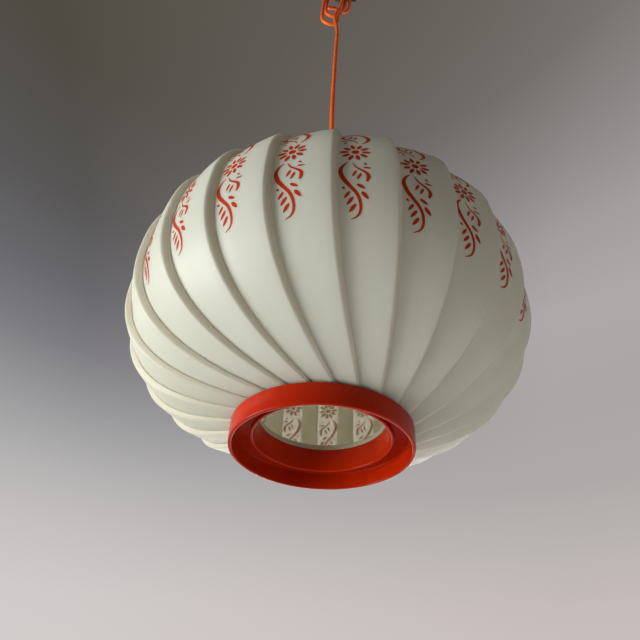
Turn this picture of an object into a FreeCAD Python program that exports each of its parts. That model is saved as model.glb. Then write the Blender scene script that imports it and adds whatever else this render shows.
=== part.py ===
import FreeCAD, Part
import math
import os

from FreeCAD import Vector

# Strip pendant lamp: a ball of overlapping plastic strips between two moulded collars,
# hung on a round cord. The cord's spare length is a loose hank on an S-hook under a
# ceiling plate. Millimetres. Origin: centre of the plate's top face, +Z up.

# ---- driving dimensions ------------------------------------------------------------
DROP = 1050.0              # ceiling face down to the lower collar's bottom edge

SHADE_R = 154.5            # outermost radius of the strips
STRIP_COUNT = 25
STRIP_WIDTH = 52.0
STRIP_T = 0.8
LAYER_EQUATOR = 5.6        # distance from one strip's face to the next, at the equator
STACK_GAP = 0.3            # air between the strips in the collars, where they lie in a stack
LAYER_POWER = 0.85
LAYER_GAP = 0.3            # air kept under a strip's turned lip
LIP_WIDTH = 3.6            # how far the turned lip runs sideways at the equator
LIP_WIDTH_END = 1.2
STRIP_LEAN = 5.0           # degrees that a strip's ends swing round the axis
STRIP_PHASE = 4.4          # degrees from the front to the first strip's middle
BELLY_LOW = 2.6            # fullness of the lower half's outline
BELLY_HIGH = 2.3           # fullness of the upper half's outline

SHADE_HEIGHT = 203.0       # between the two collar flanges' bearing faces
COLLAR_LEDGE = 12.4        # strips' ends to the collar's outer radius at its bottom edge
COLLAR_TAPER = 0.6         # growth of the outer wall's radius towards the strips
COLLAR_WALL = 2.4
COLLAR_HEIGHT = 14.6
COLLAR_FLANGE_T = 1.8
COLLAR_FLANGE_TOP = 13.9
BORE_RIM_R = 46.9
BORE_DRAFT = 2.1           # how much narrower the bore's top is than its rim
BORE_WALL = 2.0
BORE_RIM_H = 8.2
BORE_TOP_H = 24.4

STRIP_END_CLEAR = 3.1      # bore's rim radius to the radius at which the strips end
SEAT_GAP = 0.1             # strips to the faces that hold them
CARRIER_SEAT = 0.3         # carrier ring to the strips' innermost layer
CARRIER_T = 2.0
CARRIER_GRIP = 4.0         # how far the carrier ring reaches over the strips' ends
CARRIER_FIT = 0.2
CARRIER_LIP_IN = 0.2       # carrier's lip stands this far into the bore
CARRIER_LIP_T = 3.8
CARRIER_SLEEVE = 2.0

DISC_LEDGE = 4.0           # disc's edge past the carrier ring
DISC_T = 2.2
DISC_RIB_H = 3.0
DISC_RIB_T = 2.0
DISC_RIB_COUNT = 6
DISC_RIB_RING_GAP = 2.0    # ribs to the lower shade ring
DISC_RIB_INSET = 1.0       # ribs to the disc's edge
VENT_R = 4.0
VENT_PCD_R = 38.0

SKIRT_R = 19.8             # threaded skirt of the lampholder
SKIRT_WALL = 3.2
SKIRT_BELOW_DISC = 24.0
THREAD_PITCH = 2.0
THREAD_DEPTH = 0.5
THREAD_LEAD = 3.0          # plain length under the first groove
THREAD_TAIL = 2.0          # plain length between the last groove and the dome
SHOULDER_IN = 1.2
SHOULDER_H = 1.2
RING_FIT = 0.07            # running clearance of the shade rings on the skirt
RING_FLANGE_W = 9.2
RING_T = 7.0
RING_FLANGE_T = 2.8
RING_SLOPE = 0.8
RING_HUB_T = 4.2
RING_NOTCH_R = 2.0
RING_NOTCHES = 12
RING_NOTCH_OUT = 0.6       # notch centres outside the flange's edge
RING_GAP = 0.15
DISC_HOLE_CLEAR = 0.4
SOCKET_R = 13.5
SOCKET_LENGTH = 22.0
SHELL_T = 0.5
SHELL_FLANGE_T = 0.8
SHELL_FIT = 0.1            # shell's flange in the skirt's bore
SHELL_RECESS = 3.0
INSERT_T = 11.0
INSERT_EDGE = 1.0
INSERT_FIT = 0.4           # insert in the skirt's bore
CONTACT_LENGTH = 16.0
CONTACT_W = 6.0
TONGUE_R = 2.0
CONTACT_T = 0.6
CONTACT_TONGUE = 1.2       # how far the middle contact stands out of its bridge
CONTACT_CLEAR = 0.4        # middle contact to the socket's upper end
TERMINAL_R = 2.4
TERMINAL_LENGTH = 5.0
TERMINAL_PITCH = 15.0
TERMINAL_FIT = 0.1
TERMINAL_STAND = 0.2       # terminal screws over the insert's top
TERMINAL_SLOT_W = 0.7
TERMINAL_SLOT_H = 0.8
DOME_SIDE_T = 2.1
DOME_WALL = 2.0
DOME_HEIGHT = 26.0
DOME_OVERLAP = 7.5
DOME_GAP = 1.2             # dome to the upper shade ring
DOME_NECK_R = 8.0
DOME_FIT = 0.1             # dome on the skirt
DOME_RIM = 3.0             # width of the flat rim round the neck
DOME_SHOULDER_IN = 2.5
DOME_SHOULDER_DROP = 4.0
DOME_CROWN_IN = 7.5
DOME_CROWN_DROP = 0.8
DOME_SIDE_DROP = 9.0       # top of the straight side, below the dome's top
GRIP_R = 7.0
GRIP_HEIGHT = 15.0
GRIP_FLANGE_R = 9.5
GRIP_FLANGE_T = 3.0
GRIP_SCREW_R = 1.5
GRIP_SCREW_HEAD_R = 2.6
GRIP_FIT = 0.1             # grip in the dome's neck
GRIP_TAIL = 4.0            # length inside the dome
GRIP_EDGE = 1.2
GRIP_SCREW_RISE = 6.0      # screw's axis over the grip's flange
GRIP_BOSS_WALL = 0.8
GRIP_SCREW_FIT = 0.05
GRIP_SCREW_HEAD_T = 1.8
GRIP_SCREW_SLOT = 0.8
GRIP_TIP_GAP = 0.4         # screw's tip to the cord

CORD_D = 6.2
CORD_FIT = 0.1             # cord in the grip's bore
CORD_IN_GRIP = 12.0
HANK_HALF_T = 6.2
HOOK_WEAR_CLEAR = 0.6      # hank to the hook's wire
HANK_SIDE_CLEAR = 0.5      # how far the cutter for the hook runs past the hank's sides

WIRE_R = 2.0               # S-hook and ceiling eye
EYE_R = 9.0
EYE_DROP = 18.5            # ceiling to the eye's centre
HOOK_TOP_R = 5.0
HOOK_LOW_R = 11.0
HOOK_SPAN = 26.0           # between the S-hook's two bow centres
HOOK_EYE_GAP = 0.3
HOOK_TIP_TOP = 25.0        # degrees past level at the upper tip
HOOK_TIP_LOW = 20.0

PLATE_R = 24.0
PLATE_T = 3.5
PLATE_EDGE = 1.0
PLATE_HOLE_R = 2.25
PLATE_HOLE_SPACING = 32.0
PLATE_SINK_R = 4.4
NUT_AF = 10.0
NUT_T = 3.0
EYE_SHANK_INSET = 2.5
SHANK_FIT = 0.05
SHANK_END_GAP = 0.1        # shank's end to the bottom of its hole

PLUG_TILT = 15.0           # degrees from upright
PLUG_FOOT = Vector(20.0, 0, -76.5)
PLUG_SLEEVE_R = 4.6
PLUG_SLEEVE_LENGTH = 12.0
PLUG_WIDTH = 20.0
PLUG_DEPTH = 11.0
PLUG_LENGTH = 22.0
PLUG_ROUND = 2.5
PLUG_SLEEVE_FLARE = 1.0
PIN_R = 2.0
PIN_LENGTH = 9.0
PIN_PITCH = 10.0
PIN_INSET = 6.0
PIN_POINT = 1.0
PIN_POINT_TAPER = 0.7

# ---- values worked out from them -----------------------------------------------------
BASE = -DROP
STRIP_END_R = BORE_RIM_R + STRIP_END_CLEAR
LAYER_END = STRIP_T + STACK_GAP
BORE_TOP_R = BORE_RIM_R - BORE_DRAFT
COLLAR_R = STRIP_END_R + COLLAR_LEDGE
CARRIER_R = STRIP_END_R + CARRIER_GRIP
CARRIER_LIP_R = BORE_TOP_R - CARRIER_LIP_IN
DISC_R = CARRIER_R + DISC_LEDGE
RING_R = SKIRT_R + RING_FLANGE_W
RING_HUB_R = SKIRT_R + RING_HUB_T
SHOULDER_R = SKIRT_R - SHOULDER_IN
DOME_R = SKIRT_R + DOME_FIT + DOME_SIDE_T
PITCH = 2 * math.pi / STRIP_COUNT
CORD_R = CORD_D / 2
STRIP_LOW_H = COLLAR_FLANGE_TOP + SEAT_GAP
STRIP_HIGH_H = COLLAR_FLANGE_TOP + SHADE_HEIGHT - SEAT_GAP
EQUATOR_H = (STRIP_LOW_H + STRIP_HIGH_H) / 2
LAMP_TOP_H = 2 * EQUATOR_H
SHADE_HALF_H = EQUATOR_H - STRIP_LOW_H


def bore_radius(h):
    """Inner radius of a collar's tapered bore at height h over its bottom edge."""
    share = (h - BORE_RIM_H) / (BORE_TOP_H - BORE_RIM_H)
    return BORE_RIM_R + (BORE_TOP_R - BORE_RIM_R) * share


def layer_distance(radius):
    """Distance from one strip's face to the next at a radius."""
    share = min(max((SHADE_R - radius) / (SHADE_R - STRIP_END_R), 0.0), 1.0)
    return LAYER_END + (LAYER_EQUATOR - LAYER_END) * (1 - share) ** LAYER_POWER


def outline_reach(fullness):
    """Half height of the closed outline that passes through the strips' ends."""
    return SHADE_HALF_H / (1 - (STRIP_END_R / SHADE_R) ** fullness) ** (1 / fullness)


def stack_depth(radius):
    """Flange face to the innermost strip's inner face at a radius."""
    turns = 2 * math.asin(STRIP_WIDTH / 2 / radius) / PITCH
    rise = max(
        SHADE_HALF_H - outline_reach(full) * (1 - (radius / SHADE_R) ** full) ** (1 / full)
        for full in (BELLY_LOW, BELLY_HIGH))
    return SEAT_GAP + rise + layer_distance(radius) * turns + STRIP_T


CARRIER_FACE_H = COLLAR_FLANGE_TOP + stack_depth(CARRIER_R) + CARRIER_SEAT
CARRIER_BORE_R = bore_radius(CARRIER_FACE_H) + BORE_WALL + CARRIER_FIT
CARRIER_TOP_H = BORE_TOP_H + SEAT_GAP + CARRIER_LIP_T
DISC_TOP = BASE + LAMP_TOP_H - CARRIER_TOP_H
DISC_BOTTOM = DISC_TOP - DISC_T
SKIRT_BOTTOM = DISC_BOTTOM - SKIRT_BELOW_DISC
SKIRT_BORE_R = SKIRT_R - SKIRT_WALL
DOME_BOTTOM = DISC_TOP + RING_GAP + RING_T + DOME_GAP
SKIRT_TOP = DOME_BOTTOM + DOME_OVERLAP
DOME_TOP = DOME_BOTTOM + DOME_HEIGHT
GRIP_TOP = DOME_TOP + GRIP_HEIGHT
HOOK_TOP_Z = -EYE_DROP - EYE_R + WIRE_R + HOOK_EYE_GAP - (HOOK_TOP_R - WIRE_R)
HOOK_LOW_Z = HOOK_TOP_Z - HOOK_SPAN
HOOK_BOTTOM_Z = HOOK_LOW_Z - HOOK_LOW_R

os.makedirs("parts", exist_ok=True)


# ---- helpers --------------------------------------------------------------------------
def save(name, shape):
    """Check a node's solid and write it."""
    if not shape.isValid() or shape.Volume <= 0:
        raise ValueError("bad solid: " + name)
    shape.exportStep("parts/" + name + ".step")
    box = shape.BoundBox
    print("%-20s %9.1f mm3  z %8.1f %8.1f" % (name, shape.Volume, box.ZMin, box.ZMax))


def turned(points):
    """Solid of revolution about Z from a closed outline of (radius, z) points."""
    corners = [Vector(r, 0, z) for r, z in points]
    wire = Part.makePolygon(corners + [corners[0]])
    return Part.Face(wire).revolve(Vector(0, 0, 0), Vector(0, 0, 1), 360)


def mirrored(points):
    """The same outline, turned upside down about the shade's middle height."""
    return [(r, LAMP_TOP_H - h) for r, h in points]


def placed(points):
    """Heights over the lower collar's edge, turned into z."""
    return [(r, BASE + h) for r, h in points]


def rod(start, end, radius):
    """Round bar between two points."""
    along = end - start
    return Part.makeCylinder(radius, along.Length, start, along)


# ---- shade strips -----------------------------------------------------------------------
def half_outline(fullness, steps):
    """Radius and height above or below the equator, from a strip's end to the equator."""
    reach = outline_reach(fullness)
    start = math.acos((STRIP_END_R / SHADE_R) ** (fullness / 2))
    points = []
    for i in range(steps + 1):
        angle = start * (1 - i / steps)
        radius = SHADE_R * math.cos(angle) ** (2 / fullness)
        rise = reach * math.sin(angle) ** (2 / fullness)
        points.append((radius, rise))
    return points


def meridian(count):
    """Evenly spaced (radius, height, normal) stations along a strip's bowed outer line."""
    low = [(r, EQUATOR_H - d) for r, d in half_outline(BELLY_LOW, 300)]
    high = [(r, EQUATOR_H + d) for r, d in half_outline(BELLY_HIGH, 300)]
    line = low + high[::-1][1:]
    length = [0.0]
    for a, b in zip(line, line[1:]):
        length.append(length[-1] + math.dist(a, b))

    def at(distance):
        distance = min(max(distance, 0.0), length[-1])
        i = max(k for k in range(len(line) - 1) if length[k] <= distance)
        share = (distance - length[i]) / (length[i + 1] - length[i])
        a, b = line[i], line[i + 1]
        return (a[0] + (b[0] - a[0]) * share, a[1] + (b[1] - a[1]) * share)

    stations = []
    for k in range(count):
        distance = length[-1] * k / (count - 1)
        r, h = at(distance)
        before, after = at(distance - 2.0), at(distance + 2.0)
        step = math.dist(before, after)
        normal = ((after[1] - before[1]) / step, -(after[0] - before[0]) / step)
        stations.append((r, h, normal))
    return stations


def strip_point(station, turn, depth):
    """Point at an angle round the axis and a depth inside the outer line."""
    r, h, normal = station
    radius = r - depth * normal[0]
    height = h - depth * normal[1]
    return Vector(radius * math.sin(turn), -radius * math.cos(turn), BASE + height)


def strip_layout(station):
    """Angles of the hidden edge and the raised edge, layer distance, lip angle and depth."""
    r = station[0]
    share = min(max((SHADE_R - r) / (SHADE_R - STRIP_END_R), 0.0), 1.0)
    layer = layer_distance(r)
    half = math.asin(STRIP_WIDTH / 2 / r)
    lean = math.radians(STRIP_LEAN) * share ** 2
    lip_turn = (LIP_WIDTH_END + (LIP_WIDTH - LIP_WIDTH_END) * (1 - share) ** LAYER_POWER) / r
    lip_depth = max(0.0, layer * (1 - lip_turn / PITCH) - STRIP_T - LAYER_GAP)
    return lean - half, lean + half, layer, lip_turn, lip_depth


def strip():
    """One bowed strip: a long curved face whose raised edge is turned in as a narrow lip."""
    columns = 6
    outer, inner, lip_outer, lip_inner = [], [], [], []
    for station in meridian(31):
        hidden, raised, layer, lip_turn, lip_depth = strip_layout(station)
        row_outer, row_inner = [], []
        for j in range(columns):
            turn = hidden + (raised - hidden) * j / (columns - 1)
            depth = layer * (raised - turn) / PITCH
            row_outer.append(strip_point(station, turn, depth))
            row_inner.append(strip_point(station, turn, depth + STRIP_T))
        outer.append(row_outer)
        inner.append(row_inner)
        lip_outer.append(strip_point(station, raised + lip_turn, lip_depth))
        lip_inner.append(strip_point(station, raised + lip_turn, lip_depth + STRIP_T))

    def surface(grid):
        skin = Part.BSplineSurface()
        skin.interpolate(grid)
        return skin

    def curve(points):
        line = Part.BSplineCurve()
        line.interpolate(points)
        return line.toShape()

    def line(a, b):
        return Part.LineSegment(a, b).toShape()

    out, back = surface(outer), surface(inner)
    u0, u1, v0, v1 = out.bounds()
    p0, p1, q0, q1 = back.bounds()
    lip_o, lip_i = curve(lip_outer), curve(lip_inner)
    faces = [out.toShape(), back.toShape()]
    faces.append(Part.makeRuledSurface(out.vIso(v0).toShape(), back.vIso(q0).toShape()))
    faces.append(Part.makeRuledSurface(out.vIso(v1).toShape(), lip_o))
    faces.append(Part.makeRuledSurface(back.vIso(q1).toShape(), lip_i))
    faces.append(Part.makeRuledSurface(lip_o, lip_i))
    for u, p, k in ((u0, p0, 0), (u1, p1, -1)):
        faces.append(Part.makeRuledSurface(out.uIso(u).toShape(), back.uIso(p).toShape()))
        lip_top = line(outer[k][-1], lip_outer[k])
        lip_under = line(inner[k][-1], lip_inner[k])
        faces.append(Part.makeRuledSurface(lip_top, lip_under))
    shell = Part.Shell(faces)
    shell.sewShape()
    solid = Part.Solid(Part.Shell(shell.Faces))
    if solid.Volume < 0:
        solid.reverse()
    return solid


def make_strips():
    first = strip()
    for k in range(STRIP_COUNT):
        piece = first.copy()
        piece.rotate(Vector(0, 0, 0), Vector(0, 0, 1), STRIP_PHASE + 360.0 * k / STRIP_COUNT)
        save("strip_%02d" % (k + 1), piece)


# ---- collars and what they clamp ----------------------------------------------------------
def collar_outline():
    """Channel-shaped moulding: outer wall, flange, and a tapered bore through the middle."""
    top_r = COLLAR_R + COLLAR_TAPER
    under = COLLAR_FLANGE_TOP - COLLAR_FLANGE_T
    edge = COLLAR_WALL / 4
    rim = BORE_WALL / 4
    return [
        (COLLAR_R - COLLAR_WALL, edge),
        (COLLAR_R - COLLAR_WALL + edge, 0),
        (COLLAR_R - edge, 0),
        (COLLAR_R, edge),
        (top_r, COLLAR_HEIGHT - edge),
        (top_r - edge, COLLAR_HEIGHT),
        (top_r - COLLAR_WALL, COLLAR_HEIGHT),
        (top_r - COLLAR_WALL, COLLAR_FLANGE_TOP),
        (bore_radius(COLLAR_FLANGE_TOP) + BORE_WALL, COLLAR_FLANGE_TOP),
        (BORE_TOP_R + BORE_WALL, BORE_TOP_H),
        (BORE_TOP_R, BORE_TOP_H),
        (BORE_RIM_R, BORE_RIM_H + rim),
        (BORE_RIM_R + rim, BORE_RIM_H),
        (BORE_RIM_R + BORE_WALL - rim, BORE_RIM_H),
        (BORE_RIM_R + BORE_WALL, BORE_RIM_H + rim),
        (bore_radius(under) + BORE_WALL, under),
        (COLLAR_R - COLLAR_WALL, under),
    ]


def carrier_outline():
    """Ring that presses the strips' ends on the flange and caps the collar's bore."""
    lip_under = BORE_TOP_H + SEAT_GAP
    edge = CARRIER_T / 4
    return [
        (CARRIER_BORE_R, CARRIER_FACE_H),
        (CARRIER_R - edge, CARRIER_FACE_H),
        (CARRIER_R, CARRIER_FACE_H + edge),
        (CARRIER_R, CARRIER_FACE_H + CARRIER_T),
        (CARRIER_BORE_R + CARRIER_SLEEVE, CARRIER_FACE_H + CARRIER_T),
        (CARRIER_BORE_R + CARRIER_SLEEVE, CARRIER_TOP_H),
        (CARRIER_LIP_R + edge, CARRIER_TOP_H),
        (CARRIER_LIP_R, CARRIER_TOP_H - edge),
        (CARRIER_LIP_R, lip_under),
        (CARRIER_BORE_R, lip_under),
    ]


def holder_disc():
    """Round bridge under the upper carrier ring that takes the lampholder."""
    hole_r = SKIRT_R + DISC_HOLE_CLEAR
    rib_start = RING_R + DISC_RIB_RING_GAP
    rib_end = DISC_R - DISC_RIB_INSET
    disc = turned([(hole_r, DISC_BOTTOM), (DISC_R, DISC_BOTTOM), (DISC_R, DISC_TOP), (hole_r, DISC_TOP)])
    for k in range(DISC_RIB_COUNT):
        rib = Part.makeBox(
            rib_end - rib_start, DISC_RIB_T, DISC_RIB_H,
            Vector(rib_start, -DISC_RIB_T / 2, DISC_BOTTOM - DISC_RIB_H))
        rib.rotate(Vector(0, 0, 0), Vector(0, 0, 1), 360.0 * k / DISC_RIB_COUNT)
        disc = disc.fuse(rib)
        angle = 2 * math.pi * (k + 0.5) / DISC_RIB_COUNT
        centre = Vector(VENT_PCD_R * math.cos(angle), VENT_PCD_R * math.sin(angle), DISC_BOTTOM - 1)
        disc = disc.cut(Part.makeCylinder(VENT_R, DISC_T + 2, centre))
    return disc


def make_frame():
    save("lower_collar", turned(placed(collar_outline())))
    save("upper_collar", turned(placed(mirrored(collar_outline()))))
    save("lower_carrier_ring", turned(placed(carrier_outline())))
    save("upper_carrier_ring", turned(placed(mirrored(carrier_outline()))))
    save("holder_disc", holder_disc())


# ---- lampholder ------------------------------------------------------------------------------
def holder_skirt():
    """Threaded sleeve whose grooves stand in for the shade ring thread."""
    points = [(SKIRT_BORE_R, SKIRT_BOTTOM), (SHOULDER_R, SKIRT_BOTTOM), (SKIRT_R, SKIRT_BOTTOM + SHOULDER_H)]
    z = SKIRT_BOTTOM + THREAD_LEAD
    while z + THREAD_PITCH < DOME_BOTTOM - THREAD_TAIL:
        points.append((SKIRT_R, z))
        points.append((SKIRT_R - THREAD_DEPTH, z + THREAD_PITCH * 0.25))
        points.append((SKIRT_R - THREAD_DEPTH, z + THREAD_PITCH * 0.5))
        points.append((SKIRT_R, z + THREAD_PITCH * 0.75))
        z += THREAD_PITCH
    points += [(SKIRT_R, SKIRT_TOP), (SKIRT_BORE_R, SKIRT_TOP)]
    return turned(points)


def shade_ring(face, up):
    """Knurled nut on the skirt; its flange bears on the disc and its hub points away."""
    bore = SKIRT_R + RING_FIT
    flange = face + up * RING_FLANGE_T
    end = face + up * RING_T
    ring = turned([(bore, face), (RING_R, face), (RING_R, flange), (RING_HUB_R, flange + up * RING_SLOPE),
                   (RING_HUB_R, end), (bore, end)])
    low = min(face, end) - 1
    notch_r = RING_R + RING_NOTCH_OUT
    for k in range(RING_NOTCHES):
        angle = 2 * math.pi * k / RING_NOTCHES
        centre = Vector(notch_r * math.cos(angle), notch_r * math.sin(angle), low)
        ring = ring.cut(Part.makeCylinder(RING_NOTCH_R, RING_T + 2, centre))
    return ring


def make_lampholder():
    save("holder_skirt", holder_skirt())
    save("shade_ring_upper", shade_ring(DISC_TOP + RING_GAP, 1))
    save("shade_ring_lower", shade_ring(DISC_BOTTOM - RING_GAP, -1))

    shell_low = SKIRT_BOTTOM + SHELL_RECESS
    shell_top = shell_low + SOCKET_LENGTH
    flange_r = SKIRT_BORE_R - SHELL_FIT
    shell = turned([(SOCKET_R, shell_low), (SOCKET_R + SHELL_T, shell_low),
                    (SOCKET_R + SHELL_T, shell_top - SHELL_FLANGE_T), (flange_r, shell_top - SHELL_FLANGE_T),
                    (flange_r, shell_top), (SOCKET_R, shell_top)])
    save("holder_shell", shell)

    insert_low = shell_top + CONTACT_CLEAR + CONTACT_TONGUE + CONTACT_T
    insert_top = insert_low + INSERT_T
    insert_r = SKIRT_BORE_R - INSERT_FIT
    insert = turned([(0, insert_low), (insert_r, insert_low), (insert_r, insert_top - INSERT_EDGE),
                     (insert_r - INSERT_EDGE, insert_top), (0, insert_top)])
    for side in (-1, 1):
        hole = Vector(side * TERMINAL_PITCH / 2, 0, insert_top - TERMINAL_LENGTH)
        insert = insert.cut(Part.makeCylinder(TERMINAL_R + TERMINAL_FIT, TERMINAL_LENGTH + 1, hole))
    save("holder_insert", insert)

    contact = Part.makeBox(
        CONTACT_LENGTH, CONTACT_W, CONTACT_T,
        Vector(-CONTACT_LENGTH / 2, -CONTACT_W / 2, insert_low - CONTACT_T))
    under = Vector(0, 0, insert_low - CONTACT_T)
    tongue = rod(under, under - Vector(0, 0, CONTACT_TONGUE), TONGUE_R)
    save("holder_contact", contact.fuse(tongue))

    for side, name in ((-1, "holder_terminal_left"), (1, "holder_terminal_right")):
        foot = Vector(side * TERMINAL_PITCH / 2, 0, insert_top - TERMINAL_LENGTH + TERMINAL_STAND)
        screw = Part.makeCylinder(TERMINAL_R, TERMINAL_LENGTH, foot)
        slot = Part.makeBox(
            2 * TERMINAL_R, TERMINAL_SLOT_W, 2 * TERMINAL_SLOT_H,
            foot + Vector(-TERMINAL_R, -TERMINAL_SLOT_W / 2, TERMINAL_LENGTH - TERMINAL_SLOT_H))
        save(name, screw.cut(slot))

    inner_r = SKIRT_R + DOME_FIT
    roof = DOME_TOP - DOME_WALL
    shoulder_r = DOME_R - DOME_SHOULDER_IN
    crown_r = DOME_R - DOME_CROWN_IN
    dome = turned([(inner_r, DOME_BOTTOM), (DOME_R, DOME_BOTTOM), (DOME_R, DOME_TOP - DOME_SIDE_DROP),
                   (shoulder_r, DOME_TOP - DOME_SHOULDER_DROP), (crown_r, DOME_TOP - DOME_CROWN_DROP),
                   (DOME_NECK_R + DOME_RIM, DOME_TOP), (DOME_NECK_R, DOME_TOP), (DOME_NECK_R, roof),
                   (crown_r, roof - DOME_CROWN_DROP), (shoulder_r - DOME_WALL, roof - DOME_SHOULDER_DROP),
                   (inner_r, roof - DOME_SIDE_DROP)])
    save("holder_dome", dome)

    bore = CORD_R + CORD_FIT
    neck_r = DOME_NECK_R - GRIP_FIT
    flange_low = DOME_TOP + GRIP_FIT
    flange_top = DOME_TOP + GRIP_FLANGE_T
    grip = turned([(bore, roof - GRIP_TAIL), (GRIP_R, roof - GRIP_TAIL), (neck_r, roof - GRIP_TAIL / 2),
                   (neck_r, flange_low), (GRIP_FLANGE_R, flange_low), (GRIP_FLANGE_R, flange_top),
                   (GRIP_R, flange_top + GRIP_EDGE), (GRIP_R, GRIP_TOP - GRIP_EDGE),
                   (GRIP_R - GRIP_EDGE, GRIP_TOP), (bore, GRIP_TOP)])
    head = Vector(GRIP_FLANGE_R, 0, flange_top + GRIP_SCREW_RISE)
    out = Vector(1, 0, 0)
    boss = rod(Vector(GRIP_R - GRIP_EDGE, 0, head.z), head, GRIP_SCREW_HEAD_R + GRIP_BOSS_WALL)
    way = rod(Vector(CORD_R, 0, head.z), head + out, GRIP_SCREW_R + GRIP_SCREW_FIT)
    save("cord_grip", grip.fuse(boss).cut(way))

    tip = Vector(CORD_R + GRIP_TIP_GAP, 0, head.z)
    under_head = head + out * GRIP_SCREW_FIT
    crown = head + out * GRIP_SCREW_HEAD_T
    screw = rod(tip, under_head, GRIP_SCREW_R).fuse(rod(under_head, crown, GRIP_SCREW_HEAD_R))
    slot = Part.makeBox(
        2 * GRIP_SCREW_SLOT, 2 * GRIP_SCREW_HEAD_R, GRIP_SCREW_SLOT,
        crown - Vector(GRIP_SCREW_SLOT, GRIP_SCREW_HEAD_R, GRIP_SCREW_SLOT / 2))
    save("grip_screw", screw.cut(slot))


# ---- cord ----------------------------------------------------------------------------------------
def cord_route():
    """Points of the hanging cord, from inside the grip up into the hank."""
    start = GRIP_TOP - CORD_IN_GRIP
    return [
        Vector(0, 0, start),
        Vector(0, 0.1, start + 40),
        Vector(-1.2, 0.3, -705),
        Vector(-2.7, 0.3, -640),
        Vector(-3.8, 0.6, -575),
        Vector(-4.0, 0.8, -510),
        Vector(-3.5, 0.9, -445),
        Vector(-3.3, 0.8, -380),
        Vector(-2.9, 0.5, -330),
        Vector(-2.0, 0.4, -292),
        Vector(-1.6, 0.1, -262),
        Vector(-3.6, -0.8, -236),
        Vector(-6.6, -1.8, -210),
        Vector(-7.6, -2.6, -186),
    ]


def tube(points, radius):
    """Round tube of straight runs joined by tangent arcs as large as the runs allow."""
    edges = []
    start = points[0]
    for i in range(1, len(points) - 1):
        before, corner, after = points[i - 1], points[i], points[i + 1]
        back = (before - corner).normalize()
        ahead = (after - corner).normalize()
        turn = math.pi - back.getAngle(ahead)
        reach = 0.45 * min(before.distanceToPoint(corner), corner.distanceToPoint(after))
        bend = reach / math.tan(turn / 2)
        enter = corner + back * reach
        leave = corner + ahead * reach
        inward = (back + ahead).normalize()
        middle = corner + inward * (math.hypot(bend, reach) - bend)
        edges.append(Part.LineSegment(start, enter).toShape())
        edges.append(Part.Arc(enter, middle, leave).toShape())
        start = leave
        print("cord bend %d: turn %.1f deg, radius %.0f mm" % (i, math.degrees(turn), bend))
    edges.append(Part.LineSegment(start, points[-1]).toShape())
    path = Part.Wire(edges)
    section = Part.Wire(Part.makeCircle(radius, points[0], points[1] - points[0]))
    body = path.makePipeShell([section], True, True)
    print("cord tube volume ratio %.4f" % (body.Volume / (math.pi * radius ** 2 * path.Length)))
    return body


def hank():
    """Outer shape of the loose loops, open where they lie over the hook's wire."""
    outline = [(-33.5, -119), (-33, -154), (-31, -182), (-26.5, -205), (-20, -218), (-13, -215.5),
               (-8.5, -203), (-3.2, -183), (3, -162), (10.3, -120), (18.2, -86), (14.4, -66),
               (4, -52), (-9, -49), (-22, -54), (-31, -73)]
    points = [Vector(x, -HANK_HALF_T, z) for x, z in outline]
    line = Part.BSplineCurve()
    line.interpolate(points, PeriodicFlag=True)
    face = Part.Face(Part.Wire(line.toShape()))
    body = face.extrude(Vector(0, 2 * HANK_HALF_T, 0))
    # the opening widens to both sides as the bow of the hook rises, so the hank can swing
    steps = 10
    bow_inside = HOOK_LOW_R - WIRE_R
    reach = HANK_HALF_T + HANK_SIDE_CLEAR
    wear = []
    for i in range(steps + 1):
        y = -reach + 2 * reach * i / steps
        wear.append(Vector(0, y, HOOK_LOW_R - math.sqrt(bow_inside ** 2 - y ** 2) + HOOK_WEAR_CLEAR))
    corners = [Vector(0, wear[0].y, 0)] + wear + [Vector(0, wear[-1].y, 0)]
    cutter = Part.Face(Part.makePolygon(corners + [corners[0]]))
    cutter = cutter.revolve(Vector(0, 0, 0), Vector(0, 1, 0), 360)
    cutter.translate(Vector(0, 0, HOOK_BOTTOM_Z))
    return body.cut(cutter)


def tilted(shape):
    """Plug pieces are built upright at the origin, then leaned over at the cord's end."""
    shape.rotate(Vector(0, 0, 0), Vector(0, 1, 0), PLUG_TILT)
    shape.translate(PLUG_FOOT)
    return shape


def make_cord():
    save("cord_tube", tube(cord_route(), CORD_R))
    save("cord_hank", hank())

    sleeve = Part.makeCone(PLUG_SLEEVE_R, PLUG_SLEEVE_R + PLUG_SLEEVE_FLARE, PLUG_SLEEVE_LENGTH)
    body = Part.makeBox(
        PLUG_WIDTH, PLUG_DEPTH, PLUG_LENGTH, Vector(-PLUG_WIDTH / 2, -PLUG_DEPTH / 2, PLUG_SLEEVE_LENGTH))
    uprights = [e for e in body.Edges if abs(e.Vertexes[0].Z - e.Vertexes[1].Z) > 1]
    body = body.makeFillet(PLUG_ROUND, uprights)
    top = PLUG_SLEEVE_LENGTH + PLUG_LENGTH
    plug = sleeve.fuse(body)
    for side in (-1, 1):
        seat = Vector(side * PIN_PITCH / 2, 0, top - PIN_INSET)
        plug = plug.cut(Part.makeCylinder(PIN_R, PIN_INSET + 1, seat))
    save("plug_body", tilted(plug))
    for side, name in ((-1, "plug_pin_left"), (1, "plug_pin_right")):
        foot = Vector(side * PIN_PITCH / 2, 0, top - PIN_INSET)
        straight = PIN_INSET + PIN_LENGTH - PIN_POINT
        pin = Part.makeCylinder(PIN_R, straight, foot)
        point = Part.makeCone(PIN_R, PIN_R - PIN_POINT_TAPER, PIN_POINT, foot + Vector(0, 0, straight))
        save(name, tilted(pin.fuse(point)))


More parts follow.
